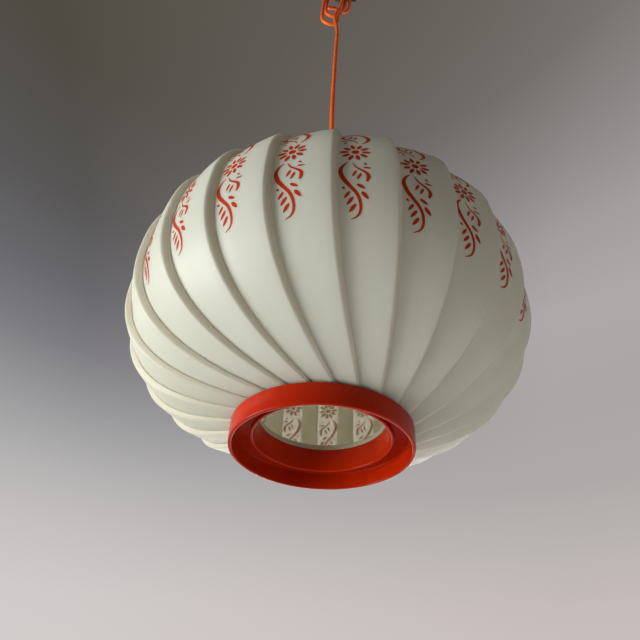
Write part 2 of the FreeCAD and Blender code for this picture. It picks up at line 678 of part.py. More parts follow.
# ---- ceiling fitting ---------------------------------------------------------------------------------
def s_hook():
    """Bent wire: a small bow over the eye and a wide bow under the hank."""
    lean = math.asin((HOOK_TOP_R + HOOK_LOW_R) / HOOK_SPAN)

    def on(centre_z, radius, angle):
        return Vector(0, radius * math.cos(angle), centre_z + radius * math.sin(angle))

    tip_top = math.pi + math.radians(HOOK_TIP_TOP)
    tip_low = 2 * math.pi + math.radians(HOOK_TIP_LOW)
    low_start = math.pi - lean
    upper = Part.Arc(
        on(HOOK_TOP_Z, HOOK_TOP_R, tip_top),
        on(HOOK_TOP_Z, HOOK_TOP_R, (tip_top - lean) / 2),
        on(HOOK_TOP_Z, HOOK_TOP_R, -lean))
    lower = Part.Arc(
        on(HOOK_LOW_Z, HOOK_LOW_R, low_start),
        on(HOOK_LOW_Z, HOOK_LOW_R, (low_start + tip_low) / 2),
        on(HOOK_LOW_Z, HOOK_LOW_R, tip_low))
    spine = Part.LineSegment(upper.EndPoint, lower.StartPoint)
    path = Part.Wire([upper.toShape(), spine.toShape(), lower.toShape()])
    start = upper.StartPoint
    along = upper.tangent(upper.FirstParameter)[0]
    wire = path.makePipeShell([Part.Wire(Part.makeCircle(WIRE_R, start, along))], True, True)
    for end in (start, lower.EndPoint):
        wire = wire.fuse(Part.makeSphere(WIRE_R, end))
    return wire


def make_ceiling():
    plate = turned([(0, 0), (PLATE_R, 0), (PLATE_R, -PLATE_T + PLATE_EDGE), (PLATE_R - PLATE_EDGE, -PLATE_T),
                    (0, -PLATE_T)])
    sink_depth = PLATE_SINK_R - PLATE_HOLE_R
    for side in (-1, 1):
        x = side * PLATE_HOLE_SPACING / 2
        plate = plate.cut(Part.makeCylinder(PLATE_HOLE_R, PLATE_T, Vector(x, 0, -PLATE_T)))
        plate = plate.cut(Part.makeCone(PLATE_SINK_R, PLATE_HOLE_R, sink_depth, Vector(x, 0, -PLATE_T)))
    shank_top = -PLATE_T + EYE_SHANK_INSET
    seat = rod(Vector(0, 0, -PLATE_T), Vector(0, 0, shank_top + SHANK_END_GAP), WIRE_R + SHANK_FIT)
    plate = plate.cut(seat)
    save("ceiling_plate", plate)

    ring = Part.makeTorus(EYE_R, WIRE_R, Vector(0, 0, -EYE_DROP), Vector(0, 1, 0))
    shank = rod(Vector(0, 0, -EYE_DROP + EYE_R), Vector(0, 0, shank_top), WIRE_R)
    save("ceiling_eye", ring.fuse(shank))

    corner = NUT_AF / math.sqrt(3)
    hexagon = [Vector(corner * math.cos(math.pi * k / 3), corner * math.sin(math.pi * k / 3), -PLATE_T - NUT_T)
               for k in range(7)]
    nut = Part.Face(Part.makePolygon(hexagon)).extrude(Vector(0, 0, NUT_T))
    nut = nut.cut(Part.makeCylinder(WIRE_R + SHANK_FIT, NUT_T, Vector(0, 0, -PLATE_T - NUT_T)))
    save("eye_nut", nut)
    save("s_hook", s_hook())


make_strips()
make_frame()
make_lampholder()
make_cord()
make_ceiling()
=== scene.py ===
import bpy
import math
import random
from mathutils import Matrix, Vector


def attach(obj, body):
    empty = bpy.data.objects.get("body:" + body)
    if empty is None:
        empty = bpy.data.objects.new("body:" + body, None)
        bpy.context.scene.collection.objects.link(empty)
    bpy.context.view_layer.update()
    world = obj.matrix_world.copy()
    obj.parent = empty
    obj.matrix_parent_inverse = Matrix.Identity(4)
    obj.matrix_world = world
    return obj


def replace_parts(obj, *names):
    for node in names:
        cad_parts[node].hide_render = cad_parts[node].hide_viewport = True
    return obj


# Strip pendant lamp. Lengths in the code are millimetres, turned into metres by MM.
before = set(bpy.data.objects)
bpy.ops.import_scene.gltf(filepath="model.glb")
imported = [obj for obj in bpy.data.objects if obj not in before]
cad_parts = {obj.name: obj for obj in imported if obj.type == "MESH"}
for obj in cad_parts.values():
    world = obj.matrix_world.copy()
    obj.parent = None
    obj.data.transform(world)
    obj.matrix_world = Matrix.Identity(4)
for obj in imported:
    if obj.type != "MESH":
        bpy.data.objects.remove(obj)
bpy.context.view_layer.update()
MM = 0.001

# ---- camera ---------------------------------------------------------------------------
CAMERA_PLACE = (0.0, -0.2998, -1.1951)
CAMERA_TURN = (41.28, -1.06, 3.03)    # pitch, yaw and roll in degrees
LENS = 27.04


def make_camera():
    pitch, yaw, roll = (math.radians(a) for a in CAMERA_TURN)
    ahead = Vector((math.sin(yaw) * math.cos(pitch), math.cos(yaw) * math.cos(pitch), math.sin(pitch)))
    level = Vector((math.cos(yaw), -math.sin(yaw), 0))
    above = level.cross(ahead)
    right = math.cos(roll) * level + math.sin(roll) * above
    up = math.cos(roll) * above - math.sin(roll) * level
    data = bpy.data.cameras.new("camera")
    data.sensor_width = 36.0
    data.lens = LENS
    data.clip_start = 0.01
    camera = bpy.data.objects.new("camera", data)
    bpy.context.scene.collection.objects.link(camera)
    turn = Matrix((right, up, -ahead)).transposed().to_4x4()
    camera.matrix_world = Matrix.Translation(CAMERA_PLACE) @ turn
    bpy.context.scene.camera = camera


make_camera()


# ---- node helpers -----------------------------------------------------------------------
def material(name):
    """New node material: (material, node tree, its Principled node)."""
    mat = bpy.data.materials.new(name)
    mat.use_nodes = True
    tree = mat.node_tree
    return mat, tree, tree.nodes["Principled BSDF"]


def coordinates(tree, scale, kind="Object"):
    """Mapped texture coordinates with a scale per axis."""
    place = tree.nodes.new("ShaderNodeTexCoord")
    mapping = tree.nodes.new("ShaderNodeMapping")
    mapping.inputs["Scale"].default_value = scale
    tree.links.new(place.outputs[kind], mapping.inputs["Vector"])
    return mapping.outputs["Vector"]


def noise(tree, vector, scale, detail=4.0, rough=0.55):
    """Procedural noise, about 0.5 on average."""
    node = tree.nodes.new("ShaderNodeTexNoise")
    node.inputs["Scale"].default_value = scale
    node.inputs["Detail"].default_value = detail
    node.inputs["Roughness"].default_value = rough
    tree.links.new(vector, node.inputs["Vector"])
    return node.outputs["Fac"]


def ramp(tree, value, low, high, start, end):
    """Maps a value between two positions onto two numbers."""
    node = tree.nodes.new("ShaderNodeMapRange")
    node.inputs["From Min"].default_value = low
    node.inputs["From Max"].default_value = high
    node.inputs["To Min"].default_value = start
    node.inputs["To Max"].default_value = end
    tree.links.new(value, node.inputs["Value"])
    return node.outputs["Result"]


def mix(tree, share, a, b):
    """Colour a towards colour b; each is a link or a colour."""
    node = tree.nodes.new("ShaderNodeMix")
    node.data_type = "RGBA"
    for socket, value in ((node.inputs[0], share), (node.inputs[6], a), (node.inputs[7], b)):
        if isinstance(value, bpy.types.NodeSocket):
            tree.links.new(value, socket)
        elif isinstance(value, (int, float)):
            socket.default_value = value
        else:
            socket.default_value = (*value, 1.0)
    return node.outputs[2]


def bump(tree, shader, height, strength, distance):
    """Relief in the shader's normal; distance is in metres."""
    node = tree.nodes.new("ShaderNodeBump")
    node.inputs["Strength"].default_value = strength
    node.inputs["Distance"].default_value = distance
    tree.links.new(height, node.inputs["Height"])
    tree.links.new(node.outputs["Normal"], shader.inputs["Normal"])


def attribute(tree, name):
    """A number stored on the mesh, such as lip or tone."""
    node = tree.nodes.new("ShaderNodeAttribute")
    node.attribute_name = name
    return node.outputs["Fac"]


def let_through(tree, shader, share, tone):
    """Thin sheet: part of the light passes to the other side."""
    through = tree.nodes.new("ShaderNodeBsdfTranslucent")
    tree.links.new(tone, through.inputs["Color"])
    both = tree.nodes.new("ShaderNodeMixShader")
    both.inputs["Fac"].default_value = share
    tree.links.new(shader.outputs["BSDF"], both.inputs[1])
    tree.links.new(through.outputs["BSDF"], both.inputs[2])
    tree.links.new(both.outputs["Shader"], tree.nodes["Material Output"].inputs["Surface"])


GRAIN_DEPTH = 0.0002       # metres


def speckled(name, colour, other, rough, grain, metal=0.0, bumps=0.15, coat=0.0):
    """Moulded or cast surface: cloudy colour, fine grain, uneven gloss."""
    mat, tree, shader = material(name)
    place = coordinates(tree, (1, 1, 1))
    cloud = noise(tree, place, grain * 0.08)
    fine = noise(tree, place, grain, 6.0, 0.65)
    share = ramp(tree, cloud, 0.35, 0.65, 0.0, 1.0)
    tree.links.new(mix(tree, share, colour, other), shader.inputs["Base Color"])
    tree.links.new(ramp(tree, fine, 0.3, 0.7, rough * 0.8, rough * 1.25), shader.inputs["Roughness"])
    shader.inputs["Metallic"].default_value = metal
    shader.inputs["Coat Weight"].default_value = coat
    shader.inputs["Coat Roughness"].default_value = 0.12
    bump(tree, shader, fine, bumps, GRAIN_DEPTH)
    return mat


# ---- the shade's outline, as in the CAD -----------------------------------------------------
DROP = 1050.0
SHADE_R = 154.5
COUNT = 25
STRIP_WIDTH = 52.0
STRIP_T = 0.8
END_R = 50.0
LAYER_EQUATOR, LAYER_END, LAYER_POWER = 5.6, 1.1, 0.85
LAYER_GAP = 0.3
LIP, LIP_END = 3.6, 1.2
LEAN = math.radians(5.0)
PHASE = math.radians(4.4)
BELLY_LOW, BELLY_HIGH = 2.6, 2.3
LOW_H, HIGH_H = 14.0, 216.8
EQUATOR_H = (LOW_H + HIGH_H) / 2
HALF_H = EQUATOR_H - LOW_H
PITCH = 2 * math.pi / COUNT


def half_outline(fullness, steps):
    """Radius and height from the equator of one half's outline, from its end to the equator."""
    reach = HALF_H / (1 - (END_R / SHADE_R) ** fullness) ** (1 / fullness)
    start = math.acos((END_R / SHADE_R) ** (fullness / 2))
    for i in range(steps + 1):
        angle = start * (1 - i / steps)
        yield (SHADE_R * math.cos(angle) ** (2 / fullness), reach * math.sin(angle) ** (2 / fullness))


LINE_STEPS = 400
LINE = [(r, EQUATOR_H - d) for r, d in half_outline(BELLY_LOW, LINE_STEPS)]
LINE += [(r, EQUATOR_H + d) for r, d in half_outline(BELLY_HIGH, LINE_STEPS)][::-1][1:]
ALONG = [0.0]
for a, b in zip(LINE, LINE[1:]):
    ALONG.append(ALONG[-1] + math.dist(a, b))
LENGTH, TO_EQUATOR = ALONG[-1], ALONG[LINE_STEPS]


def on_line(distance):
    """Radius and height at a distance along the outline from its lower end."""
    distance = min(max(distance, 0.0), LENGTH)
    low, high = 0, len(ALONG) - 1
    while high - low > 1:
        half = (low + high) // 2
        if ALONG[half] <= distance:
            low = half
        else:
            high = half
    share = (distance - ALONG[low]) / (ALONG[high] - ALONG[low])
    a, b = LINE[low], LINE[high]
    return a[0] + (b[0] - a[0]) * share, a[1] + (b[1] - a[1]) * share


def station(distance):
    """Radius, height, normal, layer distance, lean, half angle, lip angle and lip depth."""
    r, h = on_line(distance)
    before, after = on_line(distance - 2), on_line(distance + 2)
    step = math.dist(before, after)
    normal = ((after[1] - before[1]) / step, -(after[0] - before[0]) / step)
    share = min(max((SHADE_R - r) / (SHADE_R - END_R), 0.0), 1.0)
    layer = LAYER_END + (LAYER_EQUATOR - LAYER_END) * (1 - share) ** LAYER_POWER
    lip = (LIP_END + (LIP - LIP_END) * (1 - share) ** LAYER_POWER) / r
    lip_depth = max(0.0, layer * (1 - lip / PITCH) - STRIP_T - LAYER_GAP)
    return r, h, normal, layer, LEAN * share ** 2, math.asin(STRIP_WIDTH / 2 / r), lip, lip_depth


def at(place, turn, depth):
    """Point in metres at an angle round the axis and a depth under the shade's outline."""
    r, h, normal = place[:3]
    radius = (r - depth * normal[0]) * MM
    height = (h - depth * normal[1] - DROP) * MM
    return Vector((radius * math.sin(turn), -radius * math.cos(turn), height))


# ---- mesh helpers -----------------------------------------------------------------------------
def new_piece(name, verts, faces, mat, body, sharp):
    """Mesh object on a body, smooth but for edges over so many degrees."""
    mesh = bpy.data.meshes.new(name)
    mesh.from_pydata(verts, [], faces)
    mesh.validate()
    mesh.polygons.foreach_set("use_smooth", [True] * len(mesh.polygons))
    mesh.set_sharp_from_angle(angle=math.radians(sharp))
    mesh.materials.append(mat)
    piece = bpy.data.objects.new(name, mesh)
    bpy.context.scene.collection.objects.link(piece)
    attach(piece, body)
    return piece


def bend(t, a, corner, b):
    """Quadratic curve from a to b that heads for the corner."""
    return (1 - t) ** 2 * a + 2 * t * (1 - t) * corner + t ** 2 * b


CORNER_STEPS = 5
LATHE_SEGMENTS = 256
LATHE_SHARP = 50.0         # degrees


def rounded(points, radius):
    """A closed (radius, z) outline with its corners rounded."""
    out = []
    for i, corner in enumerate(points):
        here = Vector(corner)
        back = Vector(points[i - 1]) - here
        ahead = Vector(points[(i + 1) % len(points)]) - here
        cut = min(radius, back.length * 0.45, ahead.length * 0.45)
        a, b = here + back.normalized() * cut, here + ahead.normalized() * cut
        for k in range(CORNER_STEPS + 1):
            out.append(bend(k / CORNER_STEPS, a, here, b))
    return out


def lathe(name, outline, mat, body):
    """Closed (radius, z) outline turned round the axis."""
    verts, faces = [], []
    count = len(outline)
    for i in range(LATHE_SEGMENTS):
        angle = 2 * math.pi * i / LATHE_SEGMENTS
        for r, z in outline:
            verts.append((r * MM * math.cos(angle), r * MM * math.sin(angle), z * MM))
    for i in range(LATHE_SEGMENTS):
        j = (i + 1) % LATHE_SEGMENTS
        for k in range(count):
            n = (k + 1) % count
            faces.append((i * count + k, j * count + k, j * count + n, i * count + n))
    return new_piece(name, verts, faces, mat, body, LATHE_SHARP)


# ---- cord -------------------------------------------------------------------------------------
CORD_D = 6.2
# hanging stretch, upwards from the cord grip
ROUTE = [
    (0, 0, -810.1), (0, 0.1, -770.1), (-1.2, 0.3, -705), (-2.7, 0.3, -640), (-3.8, 0.6, -575),
    (-4.0, 0.8, -510), (-3.5, 0.9, -445), (-3.3, 0.8, -380), (-2.9, 0.5, -330), (-2.0, 0.4, -292),
    (-1.6, 0.1, -262), (-3.6, -0.8, -236), (-6.6, -1.8, -210), (-7.6, -2.6, -186)]
# loops of the hank: up the right side, over the hook, down the left side, three times round
HANK = [
    (-5.4, -3.1, -170), (-1.8, -3.1, -153), (1, -3.1, -135), (3.3, -3.1, -116), (4.9, -3.1, -97),
    (5.9, -3.1, -82), (6.7, -3.1, -67.4), (4, -3.1, -59), (-3.1, -3.1, -53.8), (-11.8, -3.1, -53.8),
    (-18.9, -3.1, -59), (-23.4, -3.1, -68.5), (-26.8, -3.1, -81), (-29, -3.1, -96),
    (-30.3, -3.1, -113), (-31, -3, -132), (-31.3, -2.6, -152), (-31.5, -1.8, -173), (-31.4, -0.4, -193),
    (-28.7, 1.2, -201.3), (-21.6, 2.8, -206.5), (-12.8, 4.2, -206.5), (-5.7, 5.2, -201.3),
    (-3, 5.6, -193), (-2.8, 5.2, -181), (-2.2, 4.6, -167), (-0.8, 3.8, -151), (1, 3.3, -135),
    (3.3, 3.1, -116), (4.9, 3.1, -97), (5.9, 3.1, -82), (6.7, 3.1, -67.4), (4, 3.1, -59),
    (-3.1, 3.1, -53.8), (-11.8, 3.1, -53.8), (-18.9, 3.1, -59), (-22.6, 3.1, -68.5),
    (-24.6, 3.1, -80), (-25.6, 3.6, -96), (-26.1, 4.6, -114), (-26.3, 6.2, -130), (-23.6, 7.8, -138.2),
    (-16.7, 9, -143.2), (-8.1, 9.8, -143.2), (-1.2, 10.3, -138.2), (1.5, 10.4, -130), (3.2, 10, -119.5),
    (6, 9.4, -109), (9.4, 7.4, -98.5), (11.5, 4.9, -88), (12.2, 1.8, -78), (12.5, 0.2, -67.3),
    (8.6, 0, -55.6), (-1.5, 0, -48.5), (-13, 0, -48.1), (-22, 2.6, -53.6), (-27.6, 6.8, -63),
    (-28.6, 9.6, -75), (-27.3, 10.4, -86.5), (-22.4, 9.8, -95.4), (-15, 8.4, -99.1), (-7, 8.8, -99.8),
    (0, 12, -101.2), (6.5, 15, -100.8), (13.3, 15.1, -97.9), (18.9, 11.8, -92.6), (20.6, 5.2, -85.5),
    (20.3, 1, -78.5), (21.3, 0, -71.6)]


def make_cord(mat):
    curve = bpy.data.curves.new("lamp_cord", "CURVE")
    curve.dimensions = "3D"
    curve.bevel_depth = CORD_D / 2 * MM
    curve.bevel_resolution = 6
    curve.use_fill_caps = True
    curve.resolution_u = 12
    points = ROUTE + HANK
    spline = curve.splines.new("NURBS")
    spline.points.add(len(points) - 1)
    for point, (x, y, z) in zip(spline.points, points):
        point.co = (x * MM, y * MM, z * MM, 1.0)
    spline.order_u = 3
    spline.use_endpoint_u = True
    curve.materials.append(mat)
    cord = bpy.data.objects.new("lamp_cord", curve)
    bpy.context.scene.collection.objects.link(cord)
    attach(cord, "cord")
    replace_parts(cord, "cord_tube", "cord_hank")


def cord_material():
    mat, tree, shader = material("cord_orange")
    place = coordinates(tree, (1, 1, 1))
    cloud = ramp(tree, noise(tree, place, 45.0, 3.0), 0.35, 0.65, 0.0, 1.0)
    tone = mix(tree, cloud, (0.80, 0.125, 0.008), (0.66, 0.085, 0.006))
    dirt = ramp(tree, noise(tree, place, 320.0, 5.0, 0.7), 0.62, 0.8, 0.0, 0.35)
    tree.links.new(mix(tree, dirt, tone, (0.42, 0.07, 0.025)), shader.inputs["Base Color"])
    gloss = ramp(tree, noise(tree, place, 700.0), 0.3, 0.7, 0.34, 0.5)
    tree.links.new(gloss, shader.inputs["Roughness"])
    bump(tree, shader, noise(tree, place, 900.0, 3.0), 0.12, GRAIN_DEPTH)
    shader.inputs["Specular IOR Level"].default_value = 0.3
    return mat


make_cord(cord_material())


# ---- strips ----------------------------------------------------------------------------------
def strip_material():
    """Satin sheet plastic: faint streaks along the strip, painted shade on the lips and their fold,
    darker towards the strip ends near the collars.
    """
    mat, tree, shader = material("strip_sheet")
    along = coordinates(tree, (1.0, 0.06, 1.0), "UV")
    streak = noise(tree, along, 260.0, 5.0, 0.6)
    band = noise(tree, along, 46.0, 2.0, 0.5)
    cloud = noise(tree, coordinates(tree, (1, 1, 1)), 16.0, 4.0, 0.6)
    tone = mix(tree, ramp(tree, cloud, 0.35, 0.65, 0.0, 1.0), (0.80, 0.825, 0.765), (0.76, 0.775, 0.70))
    tone = mix(tree, ramp(tree, band, 0.4, 0.7, 0.0, 0.45), tone, (0.73, 0.745, 0.69))
    tone = mix(tree, ramp(tree, streak, 0.55, 0.75, 0.0, 0.3), tone, (0.69, 0.70, 0.64))
    tone = mix(tree, attribute(tree, "tone"), tone, (0.70, 0.70, 0.60))
    # the lip and its fold are mixed towards a darker beige: painted shade under the raised edge
    tone = mix(tree, attribute(tree, "lip"), tone, (0.70, 0.67, 0.575))
    tree.links.new(tone, shader.inputs["Base Color"])
    tree.links.new(ramp(tree, streak, 0.3, 0.7, 0.34, 0.46), shader.inputs["Roughness"])
    shader.inputs["Specular IOR Level"].default_value = 0.45
    bump(tree, shader, band, 0.10, 0.0008)
    let_through(tree, shader, 0.52, mix(tree, 0.85, tone, (1.0, 0.965, 0.88)))
    return mat


ROWS, ACROSS, FOLD, LIP_STEPS = 96, 14, 5, 3
FOLD_REACH = 0.9           # how far the raised edge's round turn runs to each side


def strip_section(place, more_depth, more_turn):
    """Outer line of a strip's section: (turn, depth, lip share), hidden edge to lip's end."""
    r = place[0]
    layer, lean, half, lip, lip_depth = place[3:]
    hidden, raised = lean - half, lean + half
    fold = min(FOLD_REACH / r, lip * 0.45)
    line = []
    for j in range(ACROSS + 1):
        turn = hidden + (raised - fold - hidden) * j / ACROSS
        line.append((turn, layer * (raised - turn) / PITCH, 0.0))
    a, b, c = line[-1][:2], (raised, 0.0), (raised + fold, lip_depth * fold / lip)
    for j in range(1, FOLD + 1):
        t = j / FOLD
        line.append((bend(t, a[0], b[0], c[0]), bend(t, a[1], b[1], c[1]), t))
    for j in range(1, LIP_STEPS + 1):
        t = j / LIP_STEPS
        line.append((c[0] + (raised + lip - c[0]) * t, c[1] + (lip_depth - c[1]) * t, 1.0))
    return [(turn + more_turn, depth + more_depth, share) for turn, depth, share in line]


def make_strip(k, mat):
    """One bowed sheet with its turned lip, slightly wavy, each with its own seed."""
    rng = random.Random(100 + k)
    waves = [(rng.uniform(0.02, 0.06), rng.uniform(0.5, 2.4), rng.uniform(0, 6.28))
             for _ in range(3)]
    shift = rng.uniform(-0.0012, 0.0012)
    tint = rng.uniform(0.0, 0.16)
    verts, faces, uvs, lips, tones = [], [], [], [], []
    width = ACROSS + 1 + FOLD + LIP_STEPS
    for i in range(ROWS + 1):
        share = i / ROWS
        place = station(LENGTH * share)
        rise = math.sin(math.pi * share)
        wave = sum(a * math.sin(f * math.pi * 2 * share + p) for a, f, p in waves) * rise
        section = strip_section(place, wave, PHASE + PITCH * k + shift * rise)
        # the tone attribute also darkens the sheet towards both strip ends, near the collars
        near_end = max(0.0, 1 - min(share, 1 - share) * 9)
        for skin in (0.0, STRIP_T):
            for turn, depth, lip in section:
                verts.append(at(place, turn, depth + skin))
                uvs.append(((turn - section[0][0]) * place[0] * MM, LENGTH * share * MM))
                lips.append(lip)
                tones.append(min(1.0, tint + 0.35 * near_end ** 2))
    row = 2 * width
    for i in range(ROWS):
        base, upper = i * row, (i + 1) * row
        for j in range(width - 1):
            faces.append((base + j, base + j + 1, upper + j + 1, upper + j))
            inner, above = base + width + j, upper + width + j
            faces.append((inner + 1, inner, above, above + 1))
        faces.append((base + width, base, upper, upper + width))
        last = width - 1
        faces.append((base + last, base + width + last, upper + width + last, upper + last))
    for base, turned in ((0, False), (ROWS * row, True)):
        for j in range(width - 1):
            cap = (base + j, base + width + j, base + width + j + 1, base + j + 1)
            faces.append(cap[::-1] if turned else cap)
    piece = new_piece("shade_strip_%02d" % (k + 1), verts, faces, mat, "lamp", 40.0)
    mesh = piece.data
    layer = mesh.uv_layers.new(name="StripUV")
    for loop in mesh.loops:
        layer.data[loop.index].uv = uvs[loop.vertex_index]
    for name, values in (("lip", lips), ("tone", tones)):
        mesh.attributes.new(name, "FLOAT", "POINT").data.foreach_set("value", values)
    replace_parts(piece, "strip_%02d" % (k + 1))


sheet = strip_material()
for index in range(COUNT):
    make_strip(index, sheet)


# ---- print -----------------------------------------------------------------------------------
def ink_material(name, colour, other, rough, clear, pale):
    """Matt print; clear is the share of light that passes, pale how far it is bleached."""
    mat, tree, shader = material(name)
    place = coordinates(tree, (1, 1, 1))
    cloud = ramp(tree, noise(tree, place, 120.0), 0.35, 0.65, 0.0, 1.0)
    worn = ramp(tree, noise(tree, place, 900.0, 5.0, 0.7), 0.66, 0.8, 0.0, 0.4)
    tone = mix(tree, cloud, colour, other)
    tree.links.new(mix(tree, worn, tone, (0.55, 0.13, 0.05)), shader.inputs["Base Color"])
    tree.links.new(ramp(tree, cloud, 0.0, 1.0, rough * 0.85, rough * 1.15), shader.inputs["Roughness"])
    shader.inputs["Specular IOR Level"].default_value = 0.2
    let_through(tree, shader, clear, mix(tree, pale, tone, (0.98, 0.80, 0.66)))
    return mat


def smooth(values, t):
    """Smooth curve through the values; t counts them."""
    n = len(values) - 1
    i = min(int(t), n - 1)
    f = t - i
    p0, p1 = values[max(i - 1, 0)], values[i]
    p2, p3 = values[i + 1], values[min(i + 2, n)]
    return 0.5 * (2 * p1 + (p2 - p0) * f + (2 * p0 - 5 * p1 + 4 * p2 - p3) * f * f
                  + (3 * p1 - p0 - 3 * p2 + p3) * f ** 3)


def edges(x, y, dx, dy, half):
    """Left and right edge points of a ribbon that runs along (dx, dy)."""
    size = math.hypot(dx, dy) or 1.0
    out_x, out_y = dy / size * half, dx / size * half
    return (x - out_x, y + out_y), (x + out_x, y - out_y)


STROKE_STEPS = 22
LEAF_STEPS = 12


def stroke(points, widths):
    """Ribbon along a smooth line through the points: rows of (left, right)."""
    xs, ys = [p[0] for p in points], [p[1] for p in points]
    rows = []
    for i in range(STROKE_STEPS + 1):
        t = (len(points) - 1) * i / STROKE_STEPS
        ahead, back = min(t + 0.05, len(xs) - 1), max(t - 0.05, 0)
        dx, dy = smooth(xs, ahead) - smooth(xs, back), smooth(ys, ahead) - smooth(ys, back)
        rows.append(edges(smooth(xs, t), smooth(ys, t), dx, dy, max(0.05, smooth(widths, t) / 2)))
    return rows


def leaf(a, b, width, blunt=0.5):
    """Leaf or petal from a to b with rounded ends."""
    rows = []
    dx, dy = b[0] - a[0], b[1] - a[1]
    for i in range(LEAF_STEPS + 1):
        t = i / LEAF_STEPS
        half = width / 2 * math.sin(math.pi * t ** (1.0 - 0.35 * blunt)) ** 0.62
        rows.append(edges(a[0] + dx * t, a[1] + dy * t, dx, dy, max(half, 0.02)))
    return rows


def sprig():
    """Scroll with leaves below the flower, in (across, down) millimetres from its middle."""
    return [
        stroke([(-4.4, 11.2), (-7.6, 15.0), (-8.8, 20.4), (-6.8, 27.6), (-3.0, 33.6), (0.6, 38.8),
                (2.8, 44.4), (3.4, 50.2), (2.0, 54.6), (-1.6, 57.0)],
               [0.6, 1.9, 2.6, 2.7, 2.3, 2.0, 1.8, 1.6, 1.2, 0.5]),
        stroke([(-1.8, 12.0), (0.2, 16.4), (3.8, 19.8), (6.6, 22.6), (7.4, 26.0), (6.4, 29.8)],
               [0.5, 1.2, 1.5, 1.9, 2.3, 1.4]),
        leaf((4.2, 16.8), (9.4, 17.6), 1.6),
        leaf((5.0, 12.4), (6.8, 14.2), 1.6),
        leaf((0.4, 19.8), (-1.8, 25.6), 1.8),
        leaf((3.2, 22.4), (0.9, 28.4), 1.8),
        leaf((0.8, 32.0), (5.6, 35.6), 2.3),
        leaf((3.6, 37.8), (7.6, 43.4), 2.5),
        leaf((-7.4, 34.2), (-5.8, 36.0), 1.7),
        leaf((-3.0, 37.6), (-6.0, 43.0), 2.0),
        leaf((-0.9, 41.8), (-4.4, 47.6), 2.2),
        leaf((0.6, 46.6), (-2.8, 52.6), 2.3),
    ]


PETALS = 10
PETAL_NEAR, PETAL_FAR, PETAL_WIDTH = 3.6, 9.6, 2.7
CENTRE_R, CENTRE_STEPS = 2.4, 10


def motif():
    """A flower with a scroll below it and the same scroll, turned half round, above it."""
    shapes = []
    for k in range(PETALS):
        angle = 2 * math.pi * (k + 0.35) / PETALS
        across, down = math.sin(angle), math.cos(angle)
        far = PETAL_FAR + 0.5 * math.sin(3 * k)
        shapes.append(leaf((PETAL_NEAR * across, PETAL_NEAR * down), (far * across, far * down),
                           PETAL_WIDTH, 0.0))
    centre = []
    for i in range(CENTRE_STEPS + 1):
        angle = math.pi * i / CENTRE_STEPS
        width, y = CENTRE_R * math.sin(angle), -CENTRE_R * math.cos(angle)
        centre.append(((-width, y), (width, y)))
    shapes.append(centre)
    grown = sprig()
    shapes += grown
    shapes += [[((-a[0], -a[1]), (-b[0], -b[1])) for a, b in shape] for shape in grown]
    return shapes


MOTIF = motif()
FLOWER_U, FLOWER_V = 1.5, -5.4            # the flower's middle on its strip, across and down
PRINT_OUT, PRINT_IN = 0.14, 0.16          # how far the print stands off each face


def make_print(k, mat, inside):
    """Printed sprig of one strip, a hair above the sheet, on its outer or inner face."""
    verts, faces = [], []
    for shape in MOTIF:
        start = len(verts)
        for a, b in shape:
            for u, v in (a, ((a[0] + b[0]) / 2, (a[1] + b[1]) / 2), b):
                place = station(TO_EQUATOR - (v + FLOWER_V))
                r, layer, lean, half = place[0], place[3], place[4], place[5]
                turn = lean + (u + FLOWER_U) / r
                depth = layer * (lean + half - turn) / PITCH
                depth += STRIP_T + PRINT_IN if inside else -PRINT_OUT
                verts.append(at(place, turn + PHASE + PITCH * k, depth))
        for i in range(len(shape) - 1):
            for j in range(2):
                p = start + i * 3 + j
                faces.append((p, p + 1, p + 4, p + 3) if inside else (p, p + 3, p + 4, p + 1))
    side = "inner" if inside else "outer"
    new_piece("print_%s_%02d" % (side, k + 1), verts, faces, mat, "lamp", 80.0)


ink = ink_material("print_ink", (0.52, 0.034, 0.003), (0.43, 0.024, 0.002), 0.5, 0.15, 0.05)
ghost = ink_material("print_seen_through", (0.90, 0.64, 0.46), (0.86, 0.60, 0.42), 0.6, 0.70, 0.5)
for index in range(COUNT):
    make_print(index, ink, False)
    make_print(index, ghost, True)


# ---- collars -----------------------------------------------------------------------------------
def collar_material():
    """Glossy moulded plastic with faint draw marks and dust."""
    mat, tree, shader = material("collar_gloss")
    place = coordinates(tree, (1, 1, 1))
    cloud = ramp(tree, noise(tree, place, 22.0, 3.0), 0.35, 0.65, 0.0, 1.0)
    tone = mix(tree, cloud, (0.42, 0.018, 0.001), (0.35, 0.012, 0.001))
    drag = noise(tree, coordinates(tree, (1, 1, 0.04)), 90.0, 3.0, 0.6)
    tone = mix(tree, ramp(tree, drag, 0.55, 0.75, 0.0, 0.35), tone, (0.22, 0.006, 0.001))
    dust = ramp(tree, noise(tree, place, 1300.0, 3.0, 0.7), 0.66, 0.8, 0.0, 0.25)
    tree.links.new(mix(tree, dust, tone, (0.34, 0.06, 0.03)), shader.inputs["Base Color"])
    gloss = ramp(tree, noise(tree, place, 60.0, 4.0), 0.3, 0.7, 0.16, 0.30)
    tree.links.new(gloss, shader.inputs["Roughness"])
    shader.inputs["Specular IOR Level"].default_value = 0.1
    shader.inputs["Coat Weight"].default_value = 0.05
    shader.inputs["Coat Roughness"].default_value = 0.06
    bump(tree, shader, noise(tree, place, 30.0, 2.0), 0.06, 0.0012)
    return mat


# (radius, height) of the moulding: wall, flange and tapered bore
COLLAR_LINE = [
    (60.0, 0), (62.4, 0), (63.0, 14.6), (60.6, 14.6), (60.55, 13.9), (48.2, 13.9), (46.8, 24.4),
    (44.8, 24.4), (46.9, 8.2), (48.9, 8.2), (48.55, 12.1), (60.0, 12.1)]
COLLAR_ROUND = 0.75
LAMP_H = LOW_H + HIGH_H

